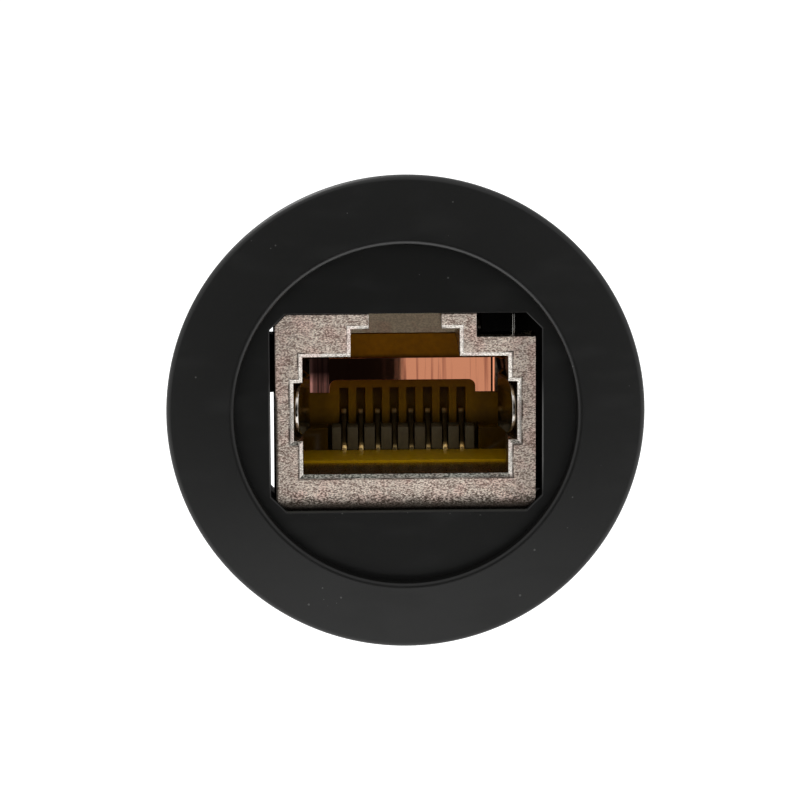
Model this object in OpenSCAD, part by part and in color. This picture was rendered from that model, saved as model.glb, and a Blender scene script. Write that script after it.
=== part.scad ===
// Round panel-mount modular jack coupler, 8 contacts, shielded, for a 22.3 mm panel hole.
// The axis runs along Y. The front looks towards -Y, the panel seat is the plane y = 0,
// and the latch side of both sockets is up (+Z).

/* [Bezel] */
// Diameter of the flange
flange_d = 28; // [27:0.1:34]
// Thickness of the flange, from its rear face to the rim plane
flange_t = 2.3; // [2.2:0.1:3]
// Height of the straight outer edge of the flange
edge_h = 1.6; // [1.3:0.1:1.8]
// Rounding of the outer front edge of the flange
edge_r = 0.3; // [0.2:0.05:0.5]
// Rounding of the outer rear edge of the flange, as far as its straight edge has room
rear_r = 1.3; // [0.3:0.05:1.4]
// Diameter of the rim round the recessed disc
rim_d = 20; // [19.6:0.1:21]
// Rounding of the rim
rim_r = 0.35; // [0.1:0.05:0.45]
// Depth of the disc below the rim plane
rim_recess = 0.85; // [0.6:0.05:1.2]
// Thickness of the disc
disc_t = 2; // [1.5:0.1:3]
// Outer diameter of the barrel thread
thread_d = 21.8; // [21.6:0.1:22]
// Height of the barrel thread
thread_h = 0.8; // [0.6:0.05:0.9]
// Distance between the ridges of the thread
thread_pitch = 1.5; // [1:0.25:2]
// Start of the thread behind the panel seat
thread_start = 0.5; // [0.3:0.1:1.5]
// Wall of the barrel below the thread
barrel_wall = 1; // [0.8:0.05:1.1]
// Length of the barrel behind the panel seat
barrel_l = 12; // [10:0.5:18]
// Start of the side slots behind the panel seat
slot_start = 1.5; // [1:0.1:2]
// Height of the side slots
slot_h = 15.6; // [15:0.1:16]
// Width of the snap lugs inside the barrel
lug_w = 7; // [5:0.1:8]
// Thickness of the snap lugs
lug_t = 1.4; // [1:0.1:2]
// Bottom of the left guide rib above the axis
guide_bottom = 0.96; // [0.2:0.02:1.4]
// Top of the left guide rib above the axis
guide_top = 4.42; // [3:0.02:4.6]
// End of the left guide rib behind the panel seat
guide_end = 0.6; // [0.2:0.1:5]
// End of the right guide rib behind the panel seat
key_end = 4; // [2:0.1:5]

/* [Bezel opening] */
// Gap between the housing and the opening, at each side
side_gap = 0.37; // [0.36:0.01:0.5]
// Gap between the housing and the opening, at the top
top_gap = 0.07; // [0.05:0.01:0.3]
// Gap between the housing and the opening, at the bottom
bottom_gap = 0.33; // [0.1:0.01:0.5]
// Chamfer at the corners of the opening
open_chamfer = 0.95; // [0.5:0.05:1.1]
// Bevel along the front edge of the opening
open_bevel = 0.05; // [0.05:0.05:0.3]

/* [Gasket and nut] */
// Thickness of the gasket
gasket_t = 1; // [0.8:0.1:1.5]
// Width of the gasket ring
gasket_w = 2.2; // [1.5:0.05:2.3]
// How far the edge of the nut stays inside the edge of the flange
nut_inset = 1.2; // [0:0.1:1.5]
// Thickness of the nut
nut_t = 4; // [3:0.1:6]
// Number of grip notches round the nut
nut_notches = 12; // [6:1:16]
// Radius of a grip notch
notch_r = 1.1; // [0.6:0.1:1.4]
// Thickness of the panel that the nut is set for
panel_t = 2.5; // [1:0.5:5]
// Play between the thread and what slides over it, on the radius
thread_gap = 0.1; // [0.05:0.01:0.2]

/* [Metal housing] */
// Width of the housing
body_w = 15.24; // [15:0.02:15.6]
// Height of the housing top above the axis
body_top = 5.81; // [5.7:0.01:5.9]
// Depth of the housing bottom below the axis
body_bottom = 5.55; // [5.45:0.01:5.7]
// Rounding of the long lower edges
corner_r = 0.6; // [0.3:0.05:0.7]
// Rounding of the lower front edge
front_r = 0.8; // [0.2:0.05:0.9]
// Depth of the metal face below the disc
face_recess = 0.25; // [0.1:0.05:0.6]
// Length of one half of the coupler
half_l = 12.8; // [12.6:0.1:16]
// Width of the shoulder that stops at the disc
shoulder_w = 11.4; // [10:0.1:12]
// Length of the shoulder
shoulder_l = 3; // [2:0.1:3.4]
// Depth of the solid frame round the plug opening
frame_l = 3.6; // [2.5:0.1:3.8]
// Width of the chamber behind the frame
chamber_w = 13.5; // [13.4:0.02:13.7]
// Height of the chamber ceiling above the axis
chamber_top = 3.35; // [3.3:0.01:3.4]
// Depth of the chamber floor below the axis
chamber_bottom = 4.7; // [4.6:0.05:4.8]

/* [Plug opening] */
// Width of the plug opening
plug_w = 12.04; // [11.8:0.02:12.1]
// Height of its ceiling above the axis
plug_top = 3.28; // [3.1:0.01:3.3]
// Depth of its floor below the axis
plug_bottom = 3.68; // [3.6:0.01:3.75]
// Depth from the metal face to the back wall
plug_l = 8.7; // [8.5:0.1:9.2]
// Width of the bevel round the opening
mouth_bevel = 0.22; // [0.1:0.01:0.4]
// Depth of the bevel round the opening
mouth_depth = 0.16; // [0.1:0.02:0.4]
// Width of the latch channel
latch_w = 6.37; // [6:0.01:6.6]
// Height of the latch channel above the axis
latch_top = 4.92; // [4.7:0.01:5]
// Width of the latch slot above the channel
key_w = 4.24; // [3.9:0.02:4.4]
// Width across the finger notches
notch_w = 13.1; // [13:0.02:13.2]
// Top of the finger notches above the axis
notch_top = 1.76; // [1.7:0.01:1.9]
// Bottom of the finger notches below the axis
notch_bottom = 2.11; // [1.9:0.01:2.2]

/* [Clip channel] */
// Distance of the channel from the middle plane
channel_x = 4.17; // [4:0.01:4.3]
// Height of the front lip of the channel above the axis
channel_lip = 4.44; // [4.4:0.01:4.6]
// Drop of the channel floor behind the lip
channel_drop = 0.75; // [0.4:0.05:1]
// Thickness of the lip
lip_t = 0.8; // [0.5:0.05:1]

/* [Insulator and comb] */
// Depth of the shelf top below the axis
shelf_depth = 3.53; // [3.5:0.01:3.6]
// Thickness of the back wall
wall_t = 1.5; // [1.2:0.05:1.8]
// Depth of the wire slots in the back wall
rib_depth = 1; // [0.9:0.05:1.1]
// Width of the wire slots in the back wall
rib_slot_w = 0.55; // [0.45:0.01:0.62]
// Depth of the slot ends below the axis
rib_slot_bottom = 2.3; // [2:0.05:2.6]
// Distance of the comb from the metal face
comb_s = 7.1; // [6.9:0.05:7.2]
// Length of the comb along the axis
comb_l = 1.4; // [1.2:0.05:1.6]
// Width of the comb
comb_w = 8.6; // [8.4:0.05:8.8]
// Height of the comb above the shelf
comb_h = 1.38; // [1.3:0.02:1.5]
// Width of the comb slots
comb_slot_w = 0.38; // [0.36:0.01:0.5]
// Gap at both ends of the comb
comb_gap = 0.25; // [0.1:0.05:0.4]
// Height of the web that joins the comb bars
web_h = 0.4; // [0.2:0.05:0.45]
// Thickness of the web
web_t = 0.45; // [0.3:0.05:0.5]

/* [Contacts] */
// Distance between neighbouring contacts
pitch = 1.016; // [1:0.001:1.03]
// Width of a contact
contact_w = 0.3; // [0.25:0.01:0.34]
// Thickness of a contact
contact_t = 0.3; // [0.24:0.01:0.32]
// Radius of the contact bend, at mid thickness
bend_r = 0.3; // [0.26:0.01:0.32]
// Rise of the sloping part, in degrees
rise = 48; // [46:0.1:50]
// Length of the sloping part
slope_l = 2.5; // [2.4:0.05:2.6]
// Length of the free tip
tip_l = 0.4; // [0.3:0.05:0.45]

/* [Shield spring] */
// Thickness of the spring sheet
spring_t = 0.2; // [0.15:0.01:0.22]
// Top of the band above the axis
band_top = 1.86; // [1.6:0.02:2]
// Bottom of the band above the axis
band_bottom = 0.48; // [0.3:0.02:0.6]
// Distance of the end tabs from the middle plane
tab_x = 4.4; // [4.2:0.05:4.9]
// Depth of the end tabs below the axis
tab_depth = 0.28; // [0.2:0.02:0.6]
// Half height of a finger, which is also the radius of its round tip
finger_r = 1.6; // [1.4:0.01:1.62]
// Depth of the finger's middle line below the axis
finger_drop = 0.05; // [0:0.01:0.1]
// Distance of the finger tip from the metal face
tip_s = 0.6; // [0.5:0.05:1]
// Distance of a finger's crest from the middle plane
crest_x = 5.7; // [5.6:0.05:5.8]

/* [Ground clip] */
// Thickness of the clip sheet
clip_t = 0.15; // [0.1:0.01:0.25]
// Length of the clip along the axis
clip_l = 3.2; // [2.4:0.1:3.4]
// Distance of the fin's outer side from the middle plane
fin_x = 6.45; // [6.1:0.05:6.8]
// Gap between the clip and the front lip of the channel
clip_gap = 0.2; // [0.1:0.05:0.5]
// Height of the fin above the channel floor
fin_h = 1.95; // [1.5:0.05:2]
// Height of the hook at the rear end of the clip
clip_hook = 0.8; // [0.4:0.1:0.8]

/* [Board and screws] */
// Thickness of the circuit board
board_t = 1.6; // [1.4:0.1:1.6]
// Diameter of the screw shank
screw_d = 1.4; // [1.2:0.05:1.6]
// Diameter of the screw head
head_d = 2.1; // [1.9:0.05:2.2]
// Height of the screw head
head_h = 1; // [0.8:0.05:1.1]
// How far a screw's axis stays inside the side of the chamber
screw_inset = 1.45; // [1:0.05:1.7]
// Height of the screws above the axis
screw_z = 4.55; // [4.5:0.01:4.6]
// Length of thread in the front half
screw_grip = 4.2; // [3:0.1:4.4]

/* [Clearances] */
// Gap round pieces that are pushed into the housing
fit = 0.05; // [0.02:0.01:0.08]

/* [Hidden] */
contacts = 8;
$fn = 96;
eps = 0.01;
far = 40;

// Places along the axis
rim_y = -gasket_t - flange_t;
disc_y = rim_y + rim_recess;
disc_back = disc_y + disc_t;
face_y = disc_y + face_recess;
mid_y = face_y + half_l;
shoulder_s = disc_back - face_y;
lug_y = disc_back + shoulder_l + fit;
clip_s = lip_t + clip_gap;
channel_end = clip_s + clip_l + fit;
channel_floor = channel_lip - channel_drop;
key_bottom = channel_lip + fit;

// Bezel, gasket and nut
crest_r = thread_d / 2;
barrel_r = crest_r - thread_h;
bore_r = barrel_r - barrel_wall;
gasket_r = crest_r + thread_gap;
ridge_count = floor((barrel_l - thread_start) / thread_pitch);
ridge_flank = thread_pitch / 4;
ridge_top = thread_pitch / 5;
nut_d = flange_d - 2 * nut_inset;
rear_fillet = min(rear_r, edge_h - edge_r);
dome_drop = flange_t - edge_h;
dome_c = (pow(flange_d / 2, 2) - pow(rim_d / 2, 2)) / (2 * dome_drop) - dome_drop / 2;
dome_r = sqrt(pow(dome_c + dome_drop, 2) + pow(rim_d / 2, 2));

// Housing and what fits in it
half_w = body_w / 2;
open_x = half_w + side_gap;
open_z0 = -body_bottom - bottom_gap;
open_z1 = body_top + top_gap;
body_chamfer = open_chamfer - side_gap + top_gap;
shoulder_h = sqrt(pow(bore_r, 2) - pow(shoulder_w / 2, 2)) - 2 * fit;
chamber_x = chamber_w / 2;
screw_x = chamber_x - screw_inset;
board_s = half_l - board_t / 2;
core_x = chamber_x - fit;
core_bottom = chamber_bottom - fit;
core_top = chamber_top - fit;

// Contacts: the wire lies in a groove of the shelf, bends up and slopes to the back wall
wire_x = [for (i = [0:contacts - 1]) (i - (contacts - 1) / 2) * pitch];
groove_w = contact_w + 3 * fit;
bend_s = comb_s + bend_r + contact_t / 2 - 2 * fit;
bend_z = -shelf_depth;
run_z = bend_z - bend_r;
groove_z = run_z - contact_t / 2 - fit;
bend_steps = 6;
bend_end = 90 + rise;
bend_path = [for (i = [0:bend_steps]) let (a = 270 + (bend_end - 270) * i / bend_steps)
             [bend_s + bend_r * cos(a), bend_z + bend_r * sin(a)]];
slope_start = bend_path[bend_steps];
slope_end = slope_start + slope_l * [cos(rise), sin(rise)];
contact_path = concat([[board_s - contact_t / 2, run_z]], bend_path,
                      [slope_end, slope_end + tip_l * [cos(rise), -sin(rise)]]);

// Shield spring, seen from above: band, corner, finger with its crest and its flared tip
band_s = plug_l - spring_t / 2;
finger_x = chamber_x - 2.5 * spring_t;
tip_x = notch_w / 2 - spring_t / 2 - fit;
spring_path = [[0, band_s], [finger_x - 3 * spring_t, band_s], [finger_x, band_s - 3 * spring_t],
               [finger_x, (comb_s + plug_l) / 2 - 1], [crest_x, frame_l + 4 * spring_t], [tip_x, tip_s]];
corner_s = band_s - 5 * spring_t;

// Draws a flat outline in X and Z and stretches it along Y
module along_y(y0, y1) {
    translate([0, y1, 0]) rotate([90, 0, 0]) linear_extrude(y1 - y0) children();
}

// Draws a flat outline in Y and Z and stretches it along X, about x = 0
module along_x(w) {
    rotate([90, 0, 90]) translate([0, 0, -w / 2]) linear_extrude(w) children();
}

// A box between two corners
module block(a, b) {
    translate(a) cube(b - a);
}

// A strip of even thickness along a flat path
module strip(path, t) {
    for (i = [1:len(path) - 1]) {
        step = path[i] - path[i - 1];
        translate(path[i - 1]) rotate(atan2(step.y, step.x))
            translate([0, -t / 2]) square([norm(step), t]);
    }
    for (i = [1:len(path) - 2]) translate(path[i]) circle(d = t);
}

// Points of a round stretch of an outline
function arc(c, r, a0, a1, n = 6) = [for (i = [0:n]) let (a = a0 + (a1 - a0) * i / n) c + r * [cos(a), sin(a)]];

// Cutter for a bevel of width b and depth d round the front edge of a hole that starts at y = 0
module edge_bevel(x0, x1, z0, z1, b, d) {
    intersection() {
        translate([0, 0, -far / 2]) linear_extrude(far)
            polygon([[x0 - b - eps, -eps], [x1 + b + eps, -eps], [x1 - eps, d], [x0 + eps, d]]);
        along_x(far) polygon([[-eps, z0 - b - eps], [-eps, z1 + b + eps], [d, z1 - eps], [d, z0 + eps]]);
    }
}

// A hole from the metal face, with a bevel round its mouth
module mouth(x0, x1, z0, z1, l) {
    block([x0, -eps, z0], [x1, l, z1]);
    edge_bevel(x0, x1, z0, z1, mouth_bevel, mouth_depth);
}

// Places a piece of the coupler in its front or its rear half
module front_half() {
    translate([0, face_y, 0]) children();
}
module rear_half() {
    translate([0, face_y + 2 * half_l, 0]) rotate(180) children();
}

// Outline of the bezel opening, larger by o all round
module opening_outline(o) {
    x = open_x + o;
    z0 = open_z0 - o;
    z1 = open_z1 + o;
    c = open_chamfer;
    polygon([[-x, z0 + c], [-x + c, z0], [x - c, z0], [x, z0 + c],
             [x, z1 - c], [x - c, z1], [-x + c, z1], [-x, z1 - c]]);
}

// Half section of the thread, drawn as rings: radius, then distance behind the panel seat, grown by g
function ridge(y, g) = [[barrel_r + g, y - g], [crest_r + g, y + ridge_flank - g],
                        [crest_r + g, y + ridge_flank + ridge_top + g],
                        [barrel_r + g, y + 2 * ridge_flank + ridge_top + g]];
function thread_section(g) = [for (i = [0:ridge_count - 1], p = ridge(thread_start + i * thread_pitch, g)) p];

// Half section of the bezel: radius, then height over the rear face of the flange
function bezel_section() = let (
    top = flange_t,
    floor_h = flange_t - rim_recess,
    rim = rim_d / 2,
    edge = flange_d / 2,
    dome_in = acos((rim + rim_r) / dome_r),
    dome_out = acos((edge - edge_r) / dome_r),
    dome_at = [0, edge_h - dome_c])
    concat([[0, floor_h], [rim, floor_h]],
           arc([rim + rim_r, top - rim_r], rim_r, 180, dome_in),
           arc(dome_at, dome_r, dome_in, dome_out, 10),
           arc([edge - edge_r, edge_h - edge_r], edge_r, dome_out, 0),
           arc([edge - rear_fillet, rear_fillet], rear_fillet, 0, -90),
           [[barrel_r, 0]],
           [for (p = thread_section(0)) [p.x, -gasket_t - p.y]],
           [[barrel_r, -gasket_t - barrel_l], [bore_r, -gasket_t - barrel_l],
            [bore_r, floor_h - disc_t], [0, floor_h - disc_t]]);

// Cuts what stands inside the barrel off at the middle of the barrel wall
module inside_barrel() {
    intersection() {
        along_y(disc_back - eps, barrel_l) circle(r = bore_r + barrel_wall / 2);
        children();
    }
}

// Snap lug that holds the shoulder of the housing against the disc
module lug(z0) {
    lead = lug_t / 2;
    end = lug_y + lug_t;
    along_x(lug_w) polygon([[lug_y, z0], [end - lead, z0], [end, z0 + lead], [end, barrel_r], [lug_y, barrel_r]]);
}

// Rib that guides the left side of the housing
module guide_rib() {
    block([-barrel_r, disc_back - eps, guide_bottom], [-half_w - fit, guide_end, guide_top]);
}

// Taller rib at the right, with a key that lies in the clip channel so that the housing goes in one way only
module key_rib() {
    block([half_w + fit, disc_back - eps, open_z0 + open_chamfer], [barrel_r, key_end, open_z1]);
    block([channel_x + side_gap, disc_back - eps, key_bottom], [half_w + 2 * fit, slot_start, open_z1]);
}

// Feet in the lower corners of the opening, just below the housing
module feet() {
    for (side = [0, 1]) mirror([side, 0, 0])
        block([shoulder_w / 2 + fit, disc_back - eps, -barrel_r], [open_x - open_chamfer, guide_end, -body_bottom - fit]);
}

module bezel_body() color("#1e1e1e") {
    difference() {
        translate([0, -gasket_t, 0]) rotate([90, 0, 0]) rotate_extrude() polygon(bezel_section());
        along_y(disc_y - 1, barrel_l + 1) opening_outline(0);
        intersection() {
            translate([0, disc_y, 0]) edge_bevel(-open_x, open_x, open_z0, open_z1, open_bevel, open_bevel);
            along_y(disc_y - 1, disc_back) opening_outline(open_bevel);
        }
        block([-far, slot_start, -slot_h / 2], [far, far, slot_h / 2]);
    }
    inside_barrel() {
        guide_rib();
        key_rib();
        feet();
        lug(open_z1);
        mirror([0, 0, 1]) lug(-open_z0);
    }
}

module panel_gasket() color("#262626") {
    along_y(-gasket_t, 0) difference() {
        circle(r = gasket_r + gasket_w);
        circle(r = gasket_r);
    }
}

module panel_nut() color("#222222") difference() {
    play = thread_gap / 2;
    end = barrel_l + 1;
    along_y(panel_t, panel_t + nut_t) difference() {
        circle(d = nut_d);
        for (i = [1:nut_notches]) rotate(360 * i / nut_notches)
            translate([nut_d / 2 + notch_r / 2, 0]) circle(r = notch_r);
    }
    rotate([-90, 0, 0]) rotate_extrude()
        polygon(concat([[0, 0], [barrel_r + play, 0]], thread_section(play), [[barrel_r + play, end], [0, end]]));
}

// Outside of one half of the housing, with round lower edges and chamfered upper edges
module housing_outline() {
    low = -body_bottom + corner_r;
    polygon([[-half_w, low], [half_w, low], [half_w, body_top - body_chamfer], [half_w - body_chamfer, body_top],
             [-half_w + body_chamfer, body_top], [-half_w, body_top - body_chamfer]]);
    translate([-half_w + corner_r, -body_bottom]) square([body_w - 2 * corner_r, corner_r]);
    for (side = [-1, 1]) translate([side * (half_w - corner_r), -body_bottom + corner_r]) circle(r = corner_r);
}

// Socket of one half of the housing: plug opening, latch way, finger notches and chamber
module socket() {
    mouth(-plug_w / 2, plug_w / 2, -plug_bottom, plug_top, frame_l + eps);
    mouth(-latch_w / 2, latch_w / 2, 0, latch_top, plug_l);
    mouth(-notch_w / 2, notch_w / 2, -notch_bottom, notch_top, frame_l + eps);
    block([-key_w / 2, -eps, latch_top - eps], [key_w / 2, plug_l, far]);
    block([-chamber_x, frame_l, -chamber_bottom], [chamber_x, half_l + 1, chamber_top]);
    translate([0, -eps, -body_bottom - eps]) along_x(far) difference() {
        square(front_r);
        translate([front_r, front_r]) circle(r = front_r);
    }
}

module front_housing() color("#a39a96") front_half() {
    difference() {
        union() {
            along_y(0, half_l) housing_outline();
            block([-shoulder_w / 2, shoulder_s, -shoulder_h],
                  [shoulder_w / 2, shoulder_s + shoulder_l, shoulder_h]);
        }
        socket();
        block([channel_x, -eps, channel_lip], [far, channel_end, far]);
        block([channel_x, lip_t, channel_floor], [far, channel_end, far]);
        for (side = [-1, 1]) translate([side * screw_x, half_l - screw_grip - fit, screw_z])
            rotate([-90, 0, 0]) cylinder(d = screw_d + fit, h = far);
    }
}

module rear_housing() color("#a39a96") rear_half() {
    difference() {
        along_y(0, half_l) housing_outline();
        socket();
        for (side = [-1, 1]) translate([side * screw_x, -eps, screw_z]) rotate([-90, 0, 0]) {
            cylinder(d = screw_d + 2 * fit, h = far);
            cylinder(d = head_d + 2 * fit, h = head_h + fit + eps);
        }
    }
}

module housing_screws() color("#8c8c88") rear_half() {
    slot_w = head_d / 5;
    for (side = [-1, 1]) translate([side * screw_x, fit, screw_z]) rotate([-90, 0, 0]) {
        difference() {
            cylinder(d = head_d, h = head_h);
            for (a = [0, 90]) rotate(a) translate([-head_d / 3, -slot_w / 2, -eps])
                cube([head_d / 1.5, slot_w, head_h / 2]);
        }
        translate([0, 0, head_h]) cylinder(d = screw_d, h = 2 * half_l - (half_l - screw_grip) - head_h - fit);
    }
}

// Insulator of one half: shelf, side blocks, slotted back wall and legs down to the board
module insulator() color("#6b4a0c") {
    wall_s = plug_l + wall_t;
    block_x = comb_w / 2 + comb_gap;
    difference() {
        union() {
            block([-core_x, frame_l + fit, -core_bottom], [core_x, board_s, -shelf_depth]);
            block([-core_x, plug_l, -core_bottom], [core_x, wall_s, core_top]);
            for (side = [0, 1]) mirror([side, 0, 0]) {
                block([block_x, comb_s, -core_bottom], [core_x, wall_s, comb_h - shelf_depth - fit]);
                block([block_x, plug_l, -core_bottom], [core_x, board_s, core_top]);
            }
        }
        for (x = wire_x) translate([x, 0, 0]) {
            block([-groove_w / 2, comb_s - 2 * fit, groove_z], [groove_w / 2, far, 2 * fit - shelf_depth]);
            block([-rib_slot_w / 2, plug_l - eps, -rib_slot_bottom], [rib_slot_w / 2, plug_l + rib_depth, 0]);
        }
    }
}
module front_insulator() front_half() insulator();
module rear_insulator() rear_half() insulator();

// Comb that keeps the contacts apart
module wire_comb() color("#6e675c") {
    difference() {
        block([-comb_w / 2, comb_s, -shelf_depth], [comb_w / 2, comb_s + comb_l, comb_h - shelf_depth]);
        for (x = wire_x) translate([x, 0, 0]) {
            block([-comb_slot_w / 2, 0, web_h - shelf_depth], [comb_slot_w / 2, far, far]);
            block([-comb_slot_w / 2, 0, -far], [comb_slot_w / 2, comb_s + comb_l - web_t, far]);
        }
    }
}
module front_wire_comb() front_half() wire_comb();
module rear_wire_comb() rear_half() wire_comb();

// Spring contact number i, from the board round the bend to its free tip
module contact(i) color("#c9a24b") {
    translate([wire_x[i - 1], 0, 0]) along_x(contact_w) {
        strip(contact_path, contact_t);
        translate([board_s - contact_t / 2, run_z - contact_t / 2]) square(contact_t / 2 * [1, 2]);
    }
}

// Shield spring of one half: band on the back wall and two round-tipped fingers
module shield_spring() color("#c98c74") {
    mid = -finger_drop;
    for (side = [0, 1]) mirror([side, 0, 0]) intersection() {
        translate([0, 0, -far / 2]) linear_extrude(far) strip(spring_path, spring_t);
        union() {
            block([-eps, 0, band_bottom], [tab_x + eps, far, band_top]);
            block([tab_x, corner_s, -tab_depth], [far, far, band_top]);
            block([tab_x, tip_s + finger_r, mid - finger_r], [far, corner_s + eps, mid + finger_r]);
            translate([tab_x, tip_s + finger_r, mid]) rotate([0, 90, 0]) cylinder(r = finger_r, h = far);
        }
    }
}
module front_shield_spring() front_half() shield_spring();
module rear_shield_spring() rear_half() shield_spring();

module circuit_board() color("#2f6b3c") {
    block([-core_x, mid_y - board_t / 2, -core_bottom], [core_x, mid_y + board_t / 2, core_top]);
}

// Folded strip on the floor of the channel, with an upright fin and a hook at its rear end
module ground_clip() color("#b9b3a8") front_half() {
    x0 = channel_x + clip_gap;
    end = clip_s + clip_l;
    block([x0, clip_s, channel_floor], [fin_x, end, channel_floor + clip_t]);
    block([fin_x - clip_t, clip_s, channel_floor], [fin_x, end, key_bottom - fit]);
    block([fin_x - clip_t, clip_s, channel_floor], [fin_x, shoulder_s - fit, channel_floor + fin_h]);
    block([x0, end - clip_t, channel_floor], [fin_x, end, channel_floor + clip_hook]);
}

bezel_body();
panel_gasket();
panel_nut();
front_housing();
rear_housing();
housing_screws();
front_insulator();
rear_insulator();
front_wire_comb();
rear_wire_comb();
front_shield_spring();
rear_shield_spring();
circuit_board();
ground_clip();
for (i = [1:contacts]) front_half() contact(i);
for (i = [1:contacts]) rear_half() contact(i);
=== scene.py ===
# %% [markdown]
# # A round panel jack
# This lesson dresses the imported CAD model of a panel-mount jack. The CAD solids fix every place and size; here
# they get soft edges, a cut thread and procedural finishes. All lengths below are millimetres, because a jack
# is easier to read that way, and each finished mesh is scaled to Blender's metres at the very end.

# %% Load the frame
import math

import bmesh
import bpy
from mathutils import Matrix, Quaternion, Vector


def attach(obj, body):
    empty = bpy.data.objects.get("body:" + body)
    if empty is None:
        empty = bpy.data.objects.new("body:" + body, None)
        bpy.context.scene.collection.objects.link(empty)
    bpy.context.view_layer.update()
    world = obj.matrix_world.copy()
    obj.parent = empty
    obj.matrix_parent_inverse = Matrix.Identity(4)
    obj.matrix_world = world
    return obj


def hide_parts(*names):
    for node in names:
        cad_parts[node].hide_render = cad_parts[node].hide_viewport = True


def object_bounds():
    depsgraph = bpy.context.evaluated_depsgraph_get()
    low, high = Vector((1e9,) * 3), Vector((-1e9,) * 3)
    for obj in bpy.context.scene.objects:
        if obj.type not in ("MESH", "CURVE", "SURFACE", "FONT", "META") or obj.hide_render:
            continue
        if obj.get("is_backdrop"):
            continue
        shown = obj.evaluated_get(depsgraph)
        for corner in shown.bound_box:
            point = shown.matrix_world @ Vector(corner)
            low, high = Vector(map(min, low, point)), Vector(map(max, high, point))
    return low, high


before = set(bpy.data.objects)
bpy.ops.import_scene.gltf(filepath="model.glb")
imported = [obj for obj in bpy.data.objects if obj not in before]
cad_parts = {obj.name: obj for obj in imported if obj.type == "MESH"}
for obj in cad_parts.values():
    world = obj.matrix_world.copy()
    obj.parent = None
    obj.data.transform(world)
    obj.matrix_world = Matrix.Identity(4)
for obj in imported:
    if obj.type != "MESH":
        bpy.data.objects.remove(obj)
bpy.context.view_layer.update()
MM = 0.001

# %% [markdown]
# ## Camera
# The photograph was taken from a little above and a little to the left, with a long lens and a slight roll. A long
# lens is a large focal length on the usual 36 mm sensor. The small shift puts the jack where the photo has it.

# %% Camera
CAMERA_DISTANCE, CAMERA_LENS, CAMERA_SENSOR, CAMERA_SHIFT = 230, 175.22, 36, (-0.0060, 0.0072)
CAMERA_AZIMUTH, CAMERA_ELEVATION, CAMERA_ROLL = (math.radians(a) for a in (-1.25, 10, -0.3))
camera_data = bpy.data.cameras.new("camera")
camera_data.sensor_width = CAMERA_SENSOR
camera_data.lens = CAMERA_LENS
camera_data.shift_x, camera_data.shift_y = CAMERA_SHIFT
camera_data.clip_start = 10 * MM
camera = bpy.data.objects.new("camera", camera_data)
level = math.cos(CAMERA_ELEVATION)
camera.location = CAMERA_DISTANCE * MM * Vector((
    math.sin(CAMERA_AZIMUTH) * level, -math.cos(CAMERA_AZIMUTH) * level, math.sin(CAMERA_ELEVATION)))
aim = (-camera.location).to_track_quat("-Z", "Y")
camera.rotation_euler = (aim @ Quaternion((0, 0, 1), CAMERA_ROLL)).to_euler()
bpy.context.scene.collection.objects.link(camera)
bpy.context.scene.camera = camera
print("camera at", [round(c / MM, 1) for c in camera.location])

# %% [markdown]
# ## Measures
# These lengths come from the CAD model and from the photograph, and several steps share them. Y runs from the front
# to the back and is zero at the face of the panel. Z points up, and the axis of the jack is at zero.

# %% Measures
FLANGE_R, RIM_R, BARREL_R, BORE_R = 14, 10, 10.1, 9.1
RIM_Y, EDGE_Y, DISC_Y, FLANGE_BACK, DISC_BACK, BARREL_END = -3.3, -2.6, -2.45, -1, -0.45, 12
OPEN_X, OPEN_Z, OPEN_CHAMFER, OPEN_BEVEL, OPEN_SHIFT = 7.96, 5.88, 0.95, 0.05, 0.03
FRONT_FACE, REAR_FACE = -2.2, 23.4
print("flange", 2 * FLANGE_R, "mm across, coupler", round(REAR_FACE - FRONT_FACE, 2), "mm long")

# %% [markdown]
# ## Helpers for node trees
# A finish is a small tree of shader nodes. A few helpers keep the trees readable: one adds a node and fills in its
# sockets, others do sums, map one range to another, measure in millimetres and mix colours, and one starts a material
# and gives back its tree, its shader and the Object coordinates. Many looks fade over a short way. Where a name below
# stands for a pair of lengths, the fade begins at the first and ends at the second.

# %% Node helpers
def fill(tree, node, values):
    for name, value in values.items():
        if isinstance(value, bpy.types.NodeSocket):
            tree.links.new(value, node.inputs[name])
        else:
            node.inputs[name].default_value = value
    return node


def put(tree, kind, values=None, **settings):
    node = tree.nodes.new("ShaderNode" + kind)
    for name, value in settings.items():
        setattr(node, name, value)
    return fill(tree, node, values or {})


def maths(tree, operation, a, b=0.0):
    return put(tree, "Math", {0: a, 1: b}, operation=operation).outputs[0]


def product(tree, first, *others):
    for factor in others:
        first = maths(tree, "MULTIPLY", first, factor)
    return first


def off(tree, value, place):
    return maths(tree, "ABSOLUTE", maths(tree, "SUBTRACT", value, place * MM))


def rescale(tree, value, low, high, start=0.0, end=1.0, smooth=False):
    return put(tree, "MapRange", {"Value": value, "From Min": start, "From Max": end, "To Min": low, "To Max": high},
               interpolation_type="SMOOTHSTEP" if smooth else "LINEAR").outputs["Result"]


def ramp(tree, value, start, end, low, high, smooth=False):
    return rescale(tree, value, low, high, start * MM, end * MM, smooth)


def split(tree, vector):
    return put(tree, "SeparateXYZ", {"Vector": vector}).outputs


def vector_maths(tree, operation, vector, other):
    return put(tree, "VectorMath", {0: vector, 1: other}, operation=operation).outputs


def mixed(tree, factor, a, b, blend="MIX"):
    return put(tree, "Mix", {"Factor": factor, "A": a, "B": b}, data_type="RGBA", blend_type=blend).outputs["Result"]


def shaded(tree, colour, factor):
    return mixed(tree, 1.0, colour, factor, "MULTIPLY")


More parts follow.
